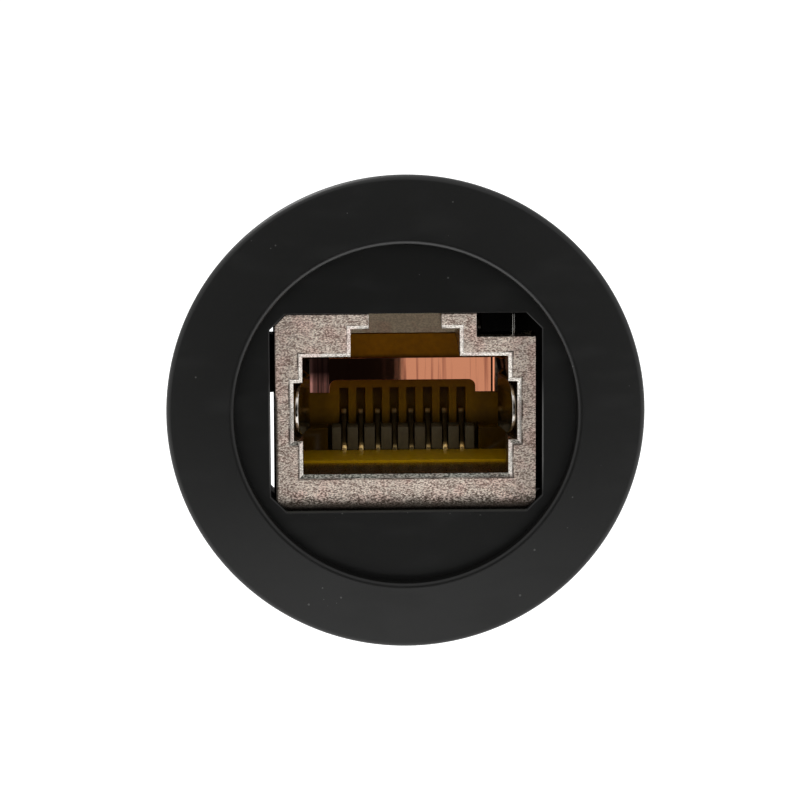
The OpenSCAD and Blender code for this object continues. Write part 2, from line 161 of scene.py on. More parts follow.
def raise_grain(tree, shader, grain, strength, height):
    lift = put(tree, "Bump", {"Height": grain["Height"], "Strength": strength, "Distance": height * MM})
    tree.links.new(lift.outputs["Normal"], shader.inputs["Normal"])


def finish_tree(name, roughness, metallic=0.0):
    material = bpy.data.materials.new(name)
    material.use_nodes = True
    tree = material.node_tree
    shader = tree.nodes["Principled BSDF"]
    shader.inputs["Base Color"].default_value = (0.5, 0.5, 0.5, 1)
    shader.inputs["Roughness"].default_value = roughness
    shader.inputs["Metallic"].default_value = metallic
    coords = put(tree, "TexCoord").outputs["Object"]
    return material, tree, shader, coords


def group_tree(name, inputs, outputs):
    tree = bpy.data.node_groups.new(name, "ShaderNodeTree")
    for socket, kind, value in inputs:
        made = tree.interface.new_socket(socket, in_out="INPUT", socket_type="NodeSocket" + kind)
        if value is not None:
            made.default_value = value
    for socket in outputs:
        tree.interface.new_socket(socket, in_out="OUTPUT", socket_type="NodeSocketFloat")
    return tree, tree.nodes.new("NodeGroupInput").outputs, tree.nodes.new("NodeGroupOutput").inputs


def place_group(tree, group, values):
    node = tree.nodes.new("ShaderNodeGroup")
    node.node_tree = group
    return fill(tree, node, values).outputs


print("node helpers ready")

# %% [markdown]
# ## Shared surface effects
# Three effects come back on many pieces, so each one is a node group that is built once: the sand grain of a
# casting or a moulding, loose dust, and fine streaks from tools and handling. Scales count features per metre.
# The dust is a field of cells: a cell has a speck if its first random number lies under the wanted share, and its
# second one decides how large the speck is.

# %% Grain, dust and streaks
PATCH_SCALE, PATCH_SHARE, SPECK_SIZE, STREAK_RANGE = 0.31, 0.15, 0.28, (0.52, 0.68)

grain_tree, grain_in, grain_out = group_tree(
    "sand_grain", [("Vector", "Vector", None), ("Scale", "Float", 7000.0), ("Contrast", "Float", 1.0)],
    ["Height", "Shade"])
coarse = put(grain_tree, "TexNoise", {"Vector": grain_in["Vector"], "Scale": grain_in["Scale"],
                                      "Detail": 2.0, "Roughness": 0.6}).outputs["Fac"]
wide = maths(grain_tree, "MULTIPLY", grain_in["Scale"], PATCH_SCALE)
patches = put(grain_tree, "TexNoise", {"Vector": grain_in["Vector"], "Scale": wide, "Detail": 1.0}).outputs["Fac"]
blend = put(grain_tree, "Mix", {"Factor": PATCH_SHARE, "A": coarse, "B": patches}).outputs["Result"]
stretched = maths(grain_tree, "MULTIPLY", maths(grain_tree, "SUBTRACT", blend, 0.5), grain_in["Contrast"])
shade = put(grain_tree, "Math", {0: stretched, 1: 0.5}, operation="ADD", use_clamp=True).outputs[0]
grain_tree.links.new(coarse, grain_out["Height"])
grain_tree.links.new(shade, grain_out["Shade"])

dust_tree, dust_in, dust_out = group_tree(
    "loose_dust", [("Vector", "Vector", None), ("Scale", "Float", 900.0), ("Share", "Float", 0.1)], ["Mask"])
cells = put(dust_tree, "TexVoronoi", {"Vector": dust_in["Vector"], "Scale": dust_in["Scale"]}).outputs
draw = put(dust_tree, "SeparateColor", {"Color": cells["Color"]}).outputs
chosen = maths(dust_tree, "LESS_THAN", draw[0], dust_in["Share"])
near = maths(dust_tree, "LESS_THAN", cells["Distance"], maths(dust_tree, "MULTIPLY", draw[1], SPECK_SIZE))
dust_tree.links.new(product(dust_tree, chosen, near), dust_out["Mask"])

streak_tree, streak_in, streak_out = group_tree(
    "fine_streaks", [("Vector", "Vector", None), ("Stretch", "Vector", (1.0, 1.0, 1.0)), ("Scale", "Float", 3000.0)],
    ["Mask"])
drawn = vector_maths(streak_tree, "MULTIPLY", streak_in["Vector"], streak_in["Stretch"])[0]
lines = put(streak_tree, "TexNoise", {"Vector": drawn, "Scale": streak_in["Scale"], "Detail": 3.0}).outputs["Fac"]
streak_tree.links.new(rescale(streak_tree, lines, 0.0, 1.0, *STREAK_RANGE), streak_out["Mask"])
print("groups:", [g.name for g in bpy.data.node_groups])

# %% [markdown]
# ## Black plastic
# The bezel and the nut are satin black mouldings. Black plastic is never flat: a fine moulded grain breaks up its
# shine, dust lies on it in pale specks, and handling leaves faint scuffs. The base colour stays very dark, and the
# grain and scuffs mostly change the roughness. Some dust lies in a patch at the lower left and along a line under the
# opening. A thin pale line along the upright edges of the opening is a painted highlight. The rim round the disc is
# polished by plugs and fingers, most of all at the top: a clear coat fades out on both sides of the rim's radius.

# %% Black plastic
DUST_PATCH, DUST_PATCH_R = Vector((-5.3, -2.9, -10.5)), (0.4, 2)
DUST_LINE_Z, DUST_LINE_H, DUST_LINE_X = -6, (0.1, 0.24), (7.0, 7.4)
EDGE_LINE_X, EDGE_LINE_W, EDGE_LINE_Z, EDGE_LINE_H = 7.99, (0.03, 0.05), -1.4, (1.5, 3.4)
RIM_LINE_R, RIM_LINE_W, RIM_LINE_Z = 10.12, (0.1, 0.18), (1, 9)
FACE_END, RIM_END = (-2.36, -2.34), (-2.4, -2.3)

black_plastic, tree, shader, coords = finish_tree("black_plastic", 0.45)
shader.inputs["Specular IOR Level"].default_value = 0.38
shader.inputs["Coat Roughness"].default_value = 0.27
axes = split(tree, coords)
on_face = ramp(tree, axes["Y"], *FACE_END, 1.0, 0.0)
grain = place_group(tree, grain_tree, {"Vector": coords, "Scale": 9000.0, "Contrast": 1.5})
scuffs = place_group(tree, streak_tree, {"Vector": coords, "Stretch": (1.0, 0.2, 3.0), "Scale": 260.0})
tone = mixed(tree, grain["Shade"], (0.0022, 0.0023, 0.0020, 1), (0.0042, 0.0043, 0.0038, 1))

from_patch = vector_maths(tree, "DISTANCE", coords, DUST_PATCH * MM)["Value"]
dust_line = product(tree, ramp(tree, off(tree, axes["Z"], DUST_LINE_Z), *DUST_LINE_H, 0.95, 0.0),
                    ramp(tree, off(tree, axes["X"], 0), *DUST_LINE_X, 1.0, 0.0), on_face)
share = maths(tree, "MAXIMUM", ramp(tree, from_patch, *DUST_PATCH_R, 0.5, 0.018), dust_line)
dust = place_group(tree, dust_tree, {"Vector": coords, "Scale": 3600.0, "Share": share})
tone = mixed(tree, dust["Mask"], tone, (0.07, 0.07, 0.067, 1))

# Painted highlight: a thin pale line on the face along both upright edges of the opening.
off_edge = off(tree, off(tree, axes["X"], OPEN_SHIFT), EDGE_LINE_X)
edge_highlight = product(tree, ramp(tree, off_edge, *EDGE_LINE_W, 0.8, 0.0),
                  ramp(tree, off(tree, axes["Z"], EDGE_LINE_Z), *EDGE_LINE_H, 1.0, 0.0), on_face)
tone = mixed(tree, edge_highlight, tone, (0.16, 0.16, 0.155, 1))

flat = vector_maths(tree, "MULTIPLY", coords, (1.0, 0.0, 1.0))[0]
radius = put(tree, "VectorMath", {0: flat}, operation="LENGTH").outputs["Value"]
polish = product(tree, ramp(tree, off(tree, radius, RIM_LINE_R), *RIM_LINE_W, 0.9, 0.0),
                 ramp(tree, axes["Z"], *RIM_LINE_Z, 0.0, 0.8), ramp(tree, axes["Y"], *RIM_END, 1.0, 0.0))
tree.links.new(tone, shader.inputs["Base Color"])
tree.links.new(rescale(tree, scuffs["Mask"], 0.40, 0.47), shader.inputs["Roughness"])
tree.links.new(polish, shader.inputs["Coat Weight"])
raise_grain(tree, shader, grain, 0.12, 0.02)
print("finish:", black_plastic.name)

# %% [markdown]
# ## Matt black
# The walls of the opening, the wall inside the rim and the inside of the barrel were never polished. They have the same
# colour without the shine, so the gap round the casting stays dark. Only the lower wall of the opening is painted a
# paler grey.

# %% Matt black
WALL_X, WALL_LOW, WALL_TOP, WALL_END = (7.1, 7.4), (-6.2, -6.1), (-5.87, -5.8), (-0.5, -0.4)

black_recess, tree, shader, coords = finish_tree("black_recess", 0.7)
shader.inputs["Specular IOR Level"].default_value = 0.12
axes = split(tree, coords)
grain = place_group(tree, grain_tree, {"Vector": coords, "Scale": 6000.0, "Contrast": 2.0})
tone = mixed(tree, grain["Shade"], (0.0018, 0.0019, 0.0016, 1), (0.0050, 0.0051, 0.0045, 1))
# The lower wall of the opening is painted a paler grey.
paler_lower_wall = product(tree, ramp(tree, axes["Z"], *WALL_TOP, 1.0, 0.0), ramp(tree, axes["Z"], *WALL_LOW, 0.0, 1.0),
                  ramp(tree, axes["Y"], *WALL_END, 1.0, 0.0), ramp(tree, off(tree, axes["X"], 0), *WALL_X, 1.0, 0.0))
tone = mixed(tree, paler_lower_wall, tone, (0.06, 0.06, 0.053, 1))
tree.links.new(tone, shader.inputs["Base Color"])
raise_grain(tree, shader, grain, 0.2, 0.02)
print("finish:", black_recess.name)

# %% [markdown]
# ## Gasket rubber
# The sealing ring is a softer, greyer black than the bezel, almost without shine, with a trace of moulding powder.

# %% Gasket rubber
gasket_rubber, tree, shader, coords = finish_tree("gasket_rubber", 0.8)
grain = place_group(tree, grain_tree, {"Vector": coords, "Scale": 5000.0, "Contrast": 2.0})
powder = place_group(tree, dust_tree, {"Vector": coords, "Scale": 1500.0, "Share": 0.2})
tone = mixed(tree, grain["Shade"], (0.010, 0.010, 0.011, 1), (0.022, 0.022, 0.023, 1))
tone = mixed(tree, powder["Mask"], tone, (0.07, 0.07, 0.07, 1))
tree.links.new(tone, shader.inputs["Base Color"])
raise_grain(tree, shader, grain, 0.3, 0.03)
print("finish:", gasket_rubber.name)

# %% [markdown]
# ## Nickel casting
# The coupler is a zinc casting with a thin nickel plating. The cast skin keeps a sandy grain of about an eighth of a
# millimetre, a little longer than it is high, and the nickel is slightly pink in places. The coined edges round the
# sockets are smooth, so they get a second finish with only a trace of the grain. The walls inside and the upward slopes
# get darker copies of the nickel as painted shade. Along the lower edge and on the left side, where the casting turns
# into the dark gap, the colour is darkened as painted shade: the place of a point, roughened by the grain, decides how
# dark it is. Both sides of the front casting are painted darker too, and a fine dark line beside the sockets is the
# painted shadow of a groove. Its mask is a distance: for each rectangle of the mouth the larger of the two overshoots,
# and of these the smallest.

# %% Nickel
MOUTH = [(6.02, -3.68, 3.28), (3.19, 0, 4.92), (6.55, -1.7, 1.76)]
GROOVE_NEAR, GROOVE_FAR, GROOVE_SIDE, GROOVE_FOOT, GROOVE_PATCHES = 0.21, 0.34, (5.6, 6.1), (-3.9, -3.7), (0.35, 0.55)
PRESSED, ROSY, ROSY_PATCHES = (0.7, 0.7, 1.35), (0.98, 0.88, 0.88, 1), (0.46, 0.62)
SHADE_LEFT, SHADE_RIGHT, LEAN, LEAN_Z = (-6.7, -5.9), (5.9, 6.7), -0.09, (0.7, 1.2)
GAP_SHADE, GAP_SHADE_DARK, GAP_SHADE_RAGGED = (0.035, 0.03, 0.024, 1), 0.93, 0.25
GAP_SHADE_FOOT, GAP_SHADE_SIDE, GAP_SHADE_DEPTH = (-5.36, -4.56), (-7.63, -7.52), (3, 9)

# Mask of the painted shadow of a groove beside the sockets.
groove_shade_tree, groove_shade_in, groove_shade_out = group_tree("painted_groove_shade", [("Vector", "Vector", None)], ["Mask"])
axes = split(groove_shade_tree, groove_shade_in["Vector"])
across = off(groove_shade_tree, axes["X"], 0)
gap = None
for half, low, high in MOUTH:
    aside = maths(groove_shade_tree, "SUBTRACT", across, half * MM)
    above = maths(groove_shade_tree, "SUBTRACT", off(groove_shade_tree, axes["Z"], (low + high) / 2), (high - low) / 2 * MM)
    apart = maths(groove_shade_tree, "MAXIMUM", aside, above)
    gap = maths(groove_shade_tree, "MINIMUM", gap, apart) if gap else apart
off_line = off(groove_shade_tree, gap, (GROOVE_NEAR + GROOVE_FAR) / 2)
line = ramp(groove_shade_tree, off_line, 0.02, (GROOVE_FAR - GROOVE_NEAR) / 2, 1.0, 0.0)
beside = maths(groove_shade_tree, "MAXIMUM", ramp(groove_shade_tree, across, *GROOVE_SIDE, 0.0, 1.0),
               ramp(groove_shade_tree, axes["Z"], *GROOVE_FOOT, 1.0, 0.0))
groove_shade_tree.links.new(product(groove_shade_tree, line, beside), groove_shade_out["Mask"])


def nickel(name, dark, light, bump, rough_low, rough_high, groove_shade=0.0):
    material, tree, shader, coords = finish_tree(name, 0.4, metallic=1.0)
    axes = split(tree, coords)
    pressed = vector_maths(tree, "MULTIPLY", coords, PRESSED)[0]
    grain = place_group(tree, grain_tree, {"Vector": pressed, "Scale": 11500.0, "Contrast": 5.5})
    patches = put(tree, "TexNoise", {"Vector": coords, "Scale": 850.0, "Detail": 2.0}).outputs["Fac"]
    tone = mixed(tree, grain["Shade"], dark, light)
    tone = mixed(tree, rescale(tree, patches, 0.0, 1.0, *ROSY_PATCHES), tone, shaded(tree, tone, ROSY))
    # Painted shade: the colour darkens to near black along the lower edge and on the left side, where the casting turns
    # into the dark gap, and this fades out towards the back.
    ragged = put(tree, "Math", {0: grain["Shade"], 1: GAP_SHADE_RAGGED * MM, 2: axes["Z"]},
                 operation="MULTIPLY_ADD").outputs[0]
    lean = maths(tree, "ADD", axes["X"], ramp(tree, axes["Z"], *LEAN_Z, LEAN * MM, 0.0))
    gap_shade = maths(tree, "MAXIMUM", ramp(tree, ragged, *GAP_SHADE_FOOT, GAP_SHADE_DARK, 0.0, smooth=True),
                  ramp(tree, lean, *GAP_SHADE_SIDE, GAP_SHADE_DARK, 0.0))
    gap_shade = product(tree, gap_shade, ramp(tree, axes["Y"], *GAP_SHADE_DEPTH, 1.0, 0.0))
    # Painted shade: both sides of the front casting are darker, the right side more, and a dark line beside the sockets
    # is the painted shadow of a groove.
    if groove_shade:
        tone = shaded(tree, tone, product(tree, ramp(tree, axes["X"], *SHADE_LEFT, 0.87, 1.0),
                                          ramp(tree, axes["X"], *SHADE_RIGHT, 1.0, 0.74)))
        line = place_group(tree, groove_shade_tree, {"Vector": coords})["Mask"]
        line = product(tree, line, rescale(tree, patches, 0.2, groove_shade, *GROOVE_PATCHES))
        gap_shade = maths(tree, "MAXIMUM", gap_shade, line)
    tree.links.new(mixed(tree, gap_shade, tone, GAP_SHADE), shader.inputs["Base Color"])
    tree.links.new(rescale(tree, grain["Shade"], rough_high, rough_low), shader.inputs["Roughness"])
    raise_grain(tree, shader, grain, bump, 0.05)
    return material


# The third and fifth finishes are darker copies of the nickel, painted as shade on the walls inside the socket and on
# its upward slopes.
casting_finishes = [
    nickel("nickel_casting", (0.26, 0.185, 0.15, 1), (1.0, 0.87, 0.75, 1), 1.0, 0.28, 0.50, 0.9),
    nickel("nickel_edge", (0.42, 0.39, 0.35, 1), (0.82, 0.77, 0.71, 1), 0.3, 0.22, 0.40),
    nickel("nickel_inside_shade", (0.24, 0.19, 0.13, 1), (0.33, 0.26, 0.18, 1), 0.05, 0.25, 0.35),
    nickel("nickel_stop", (0.62, 0.50, 0.36, 1), (0.82, 0.68, 0.50, 1), 0.05, 0.45, 0.55),
    nickel("nickel_sill_shade", (0.05, 0.05, 0.043, 1), (0.36, 0.355, 0.31, 1), 0.3, 0.3, 0.45)]
CASTING, EDGE, INSIDE, STOP, SILL = range(len(casting_finishes))
print("finishes:", [m.name for m in casting_finishes])

# %% [markdown]
# ## Moulded insulator and comb
# The contact carrier is an amber moulding that lets a little light in, and the comb on its shelf is a greyer, harder
# grade. Both have a fine grain; the amber also gets some subsurface scatter. Its colour also carries painted light and
# shade. The shelf in front is painted lighter. Deep in the socket the amber is painted darker, most of all low down and
# on the side blocks; a strip under the latch way is kept lighter, and the upper half gets a reddish painted shade.
# Depth is counted from the nearer end of the coupler, so both sockets are shaded alike.

# %% Amber and comb
COUPLER_MIDDLE, COUPLER_HALF = (FRONT_FACE + REAR_FACE) / 2, (REAR_FACE - FRONT_FACE) / 2
SHADE_DEPTH_Y = (COUPLER_HALF - 7.08, COUPLER_HALF - 6.9)
WAY_Z, WAY_X, FOOT_Z, BLOCK_X, RED_SHADE_Z = (1.86, 2.1), (1.6, 3.2), (-2.3, -1.2), (4.2, 4.8), (-0.4, 0.3)


# Painted light and shade on the amber: lighter on the shelf in front, darker deep in the socket, low down and on the
# side blocks, lighter under the latch way, with a reddish painted shade in the upper half.
def painted_socket_shade(tree, coords):
    axes = split(tree, coords)
    across = off(tree, axes["X"], 0)
    deep = ramp(tree, off(tree, axes["Y"], COUPLER_MIDDLE), *SHADE_DEPTH_Y, 1.0, 0.0)
    way = product(tree, ramp(tree, axes["Z"], *WAY_Z, 0.0, 0.72), ramp(tree, across, *WAY_X, 1.0, 0.5))
    wall = maths(tree, "ADD", ramp(tree, axes["Z"], *FOOT_Z, 0.2, 0.8), way)
    wall = product(tree, wall, ramp(tree, across, *BLOCK_X, 1.08, 0.76))
    reddish_shade = mixed(tree, ramp(tree, axes["Z"], *RED_SHADE_Z, 0.0, 1.0), (1.05, 0.88, 1.0, 1), (1.05, 0.74, 0.7, 1))
    return mixed(tree, deep, (1.33, 1.33, 1.33, 1), shaded(tree, reddish_shade, wall))


def moulded(name, dark, light, roughness, scatter, specular, socket_shaded=False):
    material, tree, shader, coords = finish_tree(name, roughness)
    shader.inputs["Specular IOR Level"].default_value = specular
    shader.inputs["Subsurface Weight"].default_value = scatter
    shader.inputs["Subsurface Scale"].default_value = 0.6 * MM
    shader.inputs["Subsurface Radius"].default_value = (1.0, 0.55, 0.1)
    grain = place_group(tree, grain_tree, {"Vector": coords, "Scale": 2600.0, "Contrast": 1.6})
    tone = mixed(tree, grain["Shade"], dark, light)
    if socket_shaded:
        tone = shaded(tree, tone, painted_socket_shade(tree, coords))
    tree.links.new(tone, shader.inputs["Base Color"])
    raise_grain(tree, shader, grain, 0.08, 0.03)
    return material


amber_plastic = moulded("amber_plastic", (0.30, 0.165, 0.001, 1), (0.42, 0.245, 0.002, 1), 0.3, 0.15, 0.12, socket_shaded=True)
comb_plastic = moulded("comb_plastic", (0.10, 0.08, 0.044, 1), (0.15, 0.12, 0.066, 1), 0.4, 0.0, 0.2)
print("finishes:", amber_plastic.name, comb_plastic.name)

# %% [markdown]
# ## Spring metals, gold and board
# The shield spring is rolled copper alloy with fine vertical rolling lines, the contacts are gold over nickel, and the
# clip and screws are plated steel. Streaks along the rolling direction change their colour and roughness a little. The
# contacts carry painted light: a painted highlight at the gold bend, stronger on the outer contacts, painted shade
# along the rising arm, and a painted highlight at the tip. The left end of the spring's band is painted darker towards
# the top as painted shade, and is rougher. Its fingers are tinned at the tip and painted near black at the root as
# painted shade. The board is glass laminate under green lacquer.

# %% Thin metals
BEND_Z, BEND_X, TIP_Z, ARM_SHADE = (-3.3, -3.05), (1.2, 2.7), (-1.6, -1.45), 0.12
TAB_SHADE_Z, TAB_ROUGHNESS = (0.3, 1.0), 0.45


# Painted light on the contacts: a highlight at the bend, stronger on the outer contacts, shade along the rising arm and
# a highlight at the tip.
def painted_contact_light(tree, coords):
    axes = split(tree, coords)
    bend = product(tree, ramp(tree, axes["Z"], *BEND_Z, 1.0, 0.0),
                   ramp(tree, off(tree, axes["X"], 0), *BEND_X, 0.25, 1.1))
    shade = maths(tree, "ADD", maths(tree, "MAXIMUM", bend, ARM_SHADE), ramp(tree, axes["Z"], *TIP_Z, 0.0, 0.9))
    return shade, ramp(tree, axes["Z"], *BEND_Z, 0.38, 0.5)


# Painted shade on the left end of the band, darker towards the top; this end is also rougher.
def painted_tab_shade(tree, coords):
    return ramp(tree, split(tree, coords)["Z"], *TAB_SHADE_Z, 1.0, 0.08), TAB_ROUGHNESS


def rolled_metal(name, dark, light, rough_low, rough_high, stretch, scale, painted_light=None):
    material, tree, shader, coords = finish_tree(name, 0.2, metallic=1.0)
    rolling = place_group(tree, streak_tree, {"Vector": coords, "Stretch": stretch, "Scale": scale})
    tone = mixed(tree, rolling["Mask"], light, dark)
    rough = rescale(tree, rolling["Mask"], rough_low, rough_high)
    if painted_light:
        shade, dull = painted_light(tree, coords)
        tone = shaded(tree, tone, shade)
        rough = maths(tree, "MAXIMUM", rough, dull)
    tree.links.new(tone, shader.inputs["Base Color"])
    tree.links.new(rough, shader.inputs["Roughness"])
    return material


spring_finishes = [
    rolled_metal("copper_spring", (0.50, 0.17, 0.10, 1), (0.90, 0.36, 0.20, 1), 0.025, 0.05, (1.0, 1.0, 0.04), 3200.0),
    rolled_metal("tinned_tip", (0.34, 0.31, 0.28, 1), (0.70, 0.66, 0.61, 1), 0.12, 0.25, (0.3, 0.3, 1.0), 2400.0),
    # The third finish is near black: painted shade on the roots of the fingers.
    rolled_metal("painted_shade_root", (0.03, 0.025, 0.02, 1), (0.09, 0.075, 0.06, 1), 0.15, 0.3, (0.3, 0.3, 1.0), 2400.0),
    rolled_metal("copper_tab", (0.16, 0.06, 0.055, 1), (0.95, 0.45, 0.40, 1), 0.12, 0.3, (1.0, 1.0, 0.03), 5200.0,
                 painted_tab_shade)]
BAND, TIP, ROOT, TAB = range(len(spring_finishes))
gold_contact = rolled_metal("gold_contact", (0.62, 0.40, 0.14, 1), (0.92, 0.66, 0.28, 1), 0.18, 0.34,
                            (1.0, 0.1, 0.1), 5000.0, painted_contact_light)
plated_steel = rolled_metal("plated_steel", (0.42, 0.41, 0.38, 1), (0.66, 0.65, 0.61, 1), 0.22, 0.42,
                            (1.0, 0.15, 1.0), 2500.0)
board_laminate = moulded("board_laminate", (0.010, 0.06, 0.018, 1), (0.018, 0.10, 0.03, 1), 0.3, 0.0, 0.5)
print("finishes:", [m.name for m in spring_finishes + [gold_contact, plated_steel, board_laminate]])

# %% [markdown]
# ## From a bmesh to a piece
# Each piece is modelled in millimetres. The last step scales it, shades it smooth with its sharp edges kept,
# weights its normals by face area so that flat faces stay flat, and ties it to the frame.

# %% Finish a piece
SHARP_ANGLE = 38


def to_object(bm, name):
    mesh = bpy.data.meshes.new(name)
    bm.to_mesh(mesh)
    bm.free()
    piece = bpy.data.objects.new(name, mesh)
    bpy.context.scene.collection.objects.link(piece)
    return piece


def finish_piece(piece, materials, node=None):
    piece.data.transform(Matrix.Scale(MM, 4))
    piece.data.polygons.foreach_set("use_smooth", [True] * len(piece.data.polygons))
    piece.data.set_sharp_from_angle(angle=math.radians(SHARP_ANGLE))
    weighted = piece.modifiers.new("weighted_normals", "WEIGHTED_NORMAL")
    weighted.keep_sharp = True
    for material in materials:
        piece.data.materials.append(material)
    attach(piece, "root")
    if node:
        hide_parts(node)
    return piece


print("pieces ride on root and keep sharp edges above", SHARP_ANGLE, "degrees")

# %% [markdown]
# ## Soft edges on the CAD solids
# Most solids only lack the small round edges that a mould or a press leaves. A copy of the node is merged, its flat
# faces are joined, and every outer edge that is sharper than 30 degrees is bevelled. On the casting, the faces that
# no longer lie square are the coined edges, and they get the smoother finish. The front casting also has what a worn
# die leaves: a thin flash on its left side, a lip along its lower edge and a raised floor in the finger notches. For
# them the copy is cut at three depths, which gives the points that are then moved. The copper band has round inner
# corners where its end tabs begin, and it is cut where one finish ends and the next one begins.

# %% Soft copies
FLAT_ANGLE, SOFT_ANGLE, HOLLOW_ANGLE = (math.radians(a) for a in (1, 30, -60))
SQUARE, UPWARD, SIDEWAYS, NEAR = 0.99, 0.3, 0.7, 0.01
INSIDE_X, INSIDE_LOW, INSIDE_TOP, EDGE_DEPTH, STOP_DEPTH = 6.9, -4.8, 5.75, 0.3, 8
LIP_TOP, LIP_H, LIP_DROP, LIP_FULL, LIP_DEPTH = -4.75, 0.8, 0.31, 0.4, 1.4
SIDE_X, FLASH, FLASH_DEPTH, CUT_DEPTHS = 7.6, 0.13, 1.3, (1.0, 1.3, 1.6)
NOTCH_X, NOTCH_LOW, NOTCH_TOP, NOTCH_DEPTH, NOTCH_RISE = 5.9, -2.4, -2.05, 3.7, 0.42
TAB_X, TAB_ROUND, FINGER_X, FINGER_TIP = 4.45, 0.4, 5.35, 2.2


def cad_copy(node):
    bm = bmesh.new()
    bm.from_mesh(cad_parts[node].data)
    bmesh.ops.scale(bm, vec=(1 / MM,) * 3, verts=bm.verts)
    bmesh.ops.remove_doubles(bm, verts=bm.verts, dist=0.002)
    bmesh.ops.dissolve_limit(bm, angle_limit=FLAT_ANGLE, verts=bm.verts, edges=bm.edges)
    return bm


def bevel(bm, geom, width, segments, affect="EDGES"):
    bmesh.ops.bevel(bm, geom=geom, offset=width, offset_type="OFFSET", segments=segments, profile=0.5, affect=affect,
                    clamp_overlap=True, material=-1)


def cut(bm, place, across, **more):
    bmesh.ops.bisect_plane(bm, geom=bm.verts[:] + bm.edges[:] + bm.faces[:], dist=0.0001, plane_co=place,
                           plane_no=across, **more)


def soften(bm, width):
    outer = [e for e in bm.edges if e.is_manifold and e.calc_face_angle_signed() > SOFT_ANGLE]
    bevel(bm, outer, width, 2)
    return len(outer)


def soft_piece(node, width, materials, finish_of=None, reshape=None):
    bm = cad_copy(node)
    if reshape:
        reshape(bm)
    edges = soften(bm, width)
    for face in bm.faces if finish_of else ():
        face.material_index = finish_of(face)
    piece = finish_piece(to_object(bm, node + "_soft"), materials, node)
    print(piece.name, edges, "edges softened,", len(piece.data.polygons), "faces")


def depth(face):
    return min(abs(face.calc_center_median().y - plane) for plane in (FRONT_FACE, REAR_FACE))


def cast_shape(bm):
    for away in CUT_DEPTHS:
        cut(bm, (0, FRONT_FACE + away, 0), (0, 1, 0))
    for vert in bm.verts:
        away = vert.co.y - FRONT_FACE
        if vert.co.z < LIP_TOP and away < LIP_DEPTH:
            vert.co.z -= LIP_DROP * (LIP_TOP - vert.co.z) / LIP_H
            if away < LIP_H + NEAR:
                vert.co.y = FRONT_FACE + away * LIP_FULL
        if vert.co.x < -SIDE_X and abs(away - FLASH_DEPTH) < NEAR:
            vert.co.x -= FLASH
        in_notch = NOTCH_X < abs(vert.co.x) < INSIDE_X and away < NOTCH_DEPTH
        if in_notch and NOTCH_LOW < vert.co.z < NOTCH_TOP:
            vert.co.z += NOTCH_RISE


def casting_finish(face):
    centre = face.calc_center_median()
    inside = abs(centre.x) < INSIDE_X and INSIDE_LOW < centre.z < INSIDE_TOP
    if inside and depth(face) > EDGE_DEPTH:
        return STOP if depth(face) > STOP_DEPTH else INSIDE
    slanted = max(abs(n) for n in face.normal) < SQUARE
    if not (inside and slanted):
        return CASTING
    return SILL if face.normal.z > UPWARD else EDGE


def band_shape(bm):
    corners = [e for e in bm.edges if e.is_manifold and e.calc_face_angle_signed() < HOLLOW_ANGLE
               and abs((e.verts[0].co - e.verts[1].co).normalized().y) > SQUARE and abs(e.verts[0].co.x) < FINGER_X]
    bevel(bm, corners, TAB_ROUND, 5)
    for x in (-FINGER_X, -TAB_X, FINGER_X):
        cut(bm, (x, 0, 0), (1, 0, 0))


def spring_finish(face):
    x = face.calc_center_median().x
    if abs(x) > FINGER_X and (depth(face) < STOP_DEPTH or abs(face.normal.x) > SIDEWAYS):
        return TIP if depth(face) < FINGER_TIP else ROOT
    return TAB if x < -TAB_X else BAND


for end in ("front", "rear"):
    soft_piece(end + "_housing", 0.06, casting_finishes, casting_finish,
               cast_shape if end == "front" else None)
    soft_piece(end + "_insulator", 0.04, [amber_plastic])
    soft_piece(end + "_wire_comb", 0.03, [comb_plastic])
    soft_piece(end + "_shield_spring", 0.03, spring_finishes, spring_finish, band_shape)
    for number in range(1, 9):
        soft_piece(f"{end}_contact_{number}", 0.05, [gold_contact])
soft_piece("circuit_board", 0.05, [board_laminate])
soft_piece("ground_clip", 0.02, [plated_steel])
soft_piece("housing_screws", 0.06, [plated_steel])

# %% [markdown]
# ## Turned shapes
# The bezel, the gasket and the thread are turned: a half section, drawn as a chain of points, is spun round the
# axis. Its corners are rounded first, with a bevel on the points of the section. Solids are then joined or cut with
# Boolean modifiers, which are applied at once so that no helper object stays behind. A Boolean can leave points that
# almost touch, so the result is cleaned: such points are merged, and faces without area go.

# %% Turning and Booleans
TURN_STEPS, WELD = 192, 0.001


def chain(bm, points, closed=False):
    verts = [bm.verts.new((r, y, 0)) for r, y in points]
    for a, b in zip(verts, verts[1:] + verts[:1] if closed else verts[1:]):
        bm.edges.new((a, b))
    return verts


def round_corners(bm, verts, offsets, segments=6):
    for vert, offset in zip(verts, offsets):
        bevel(bm, [vert], offset, segments, "VERTICES")


def turn(bm):
    bmesh.ops.spin(bm, geom=bm.verts[:] + bm.edges[:], cent=(0, 0, 0), axis=(0, 1, 0), angle=2 * math.pi,
                   steps=TURN_STEPS, use_merge=True)
    bmesh.ops.remove_doubles(bm, verts=bm.verts, dist=WELD)
    bmesh.ops.recalc_face_normals(bm, faces=bm.faces)


def boolean(target, tool, operation):
    step = target.modifiers.new(operation.lower(), "BOOLEAN")
    step.operation, step.object, step.solver = operation, tool, "EXACT"
    graph = bpy.context.evaluated_depsgraph_get()
    mesh = bpy.data.meshes.new_from_object(target.evaluated_get(graph))
    target.modifiers.clear()
    target.data = mesh
    bpy.data.objects.remove(tool)


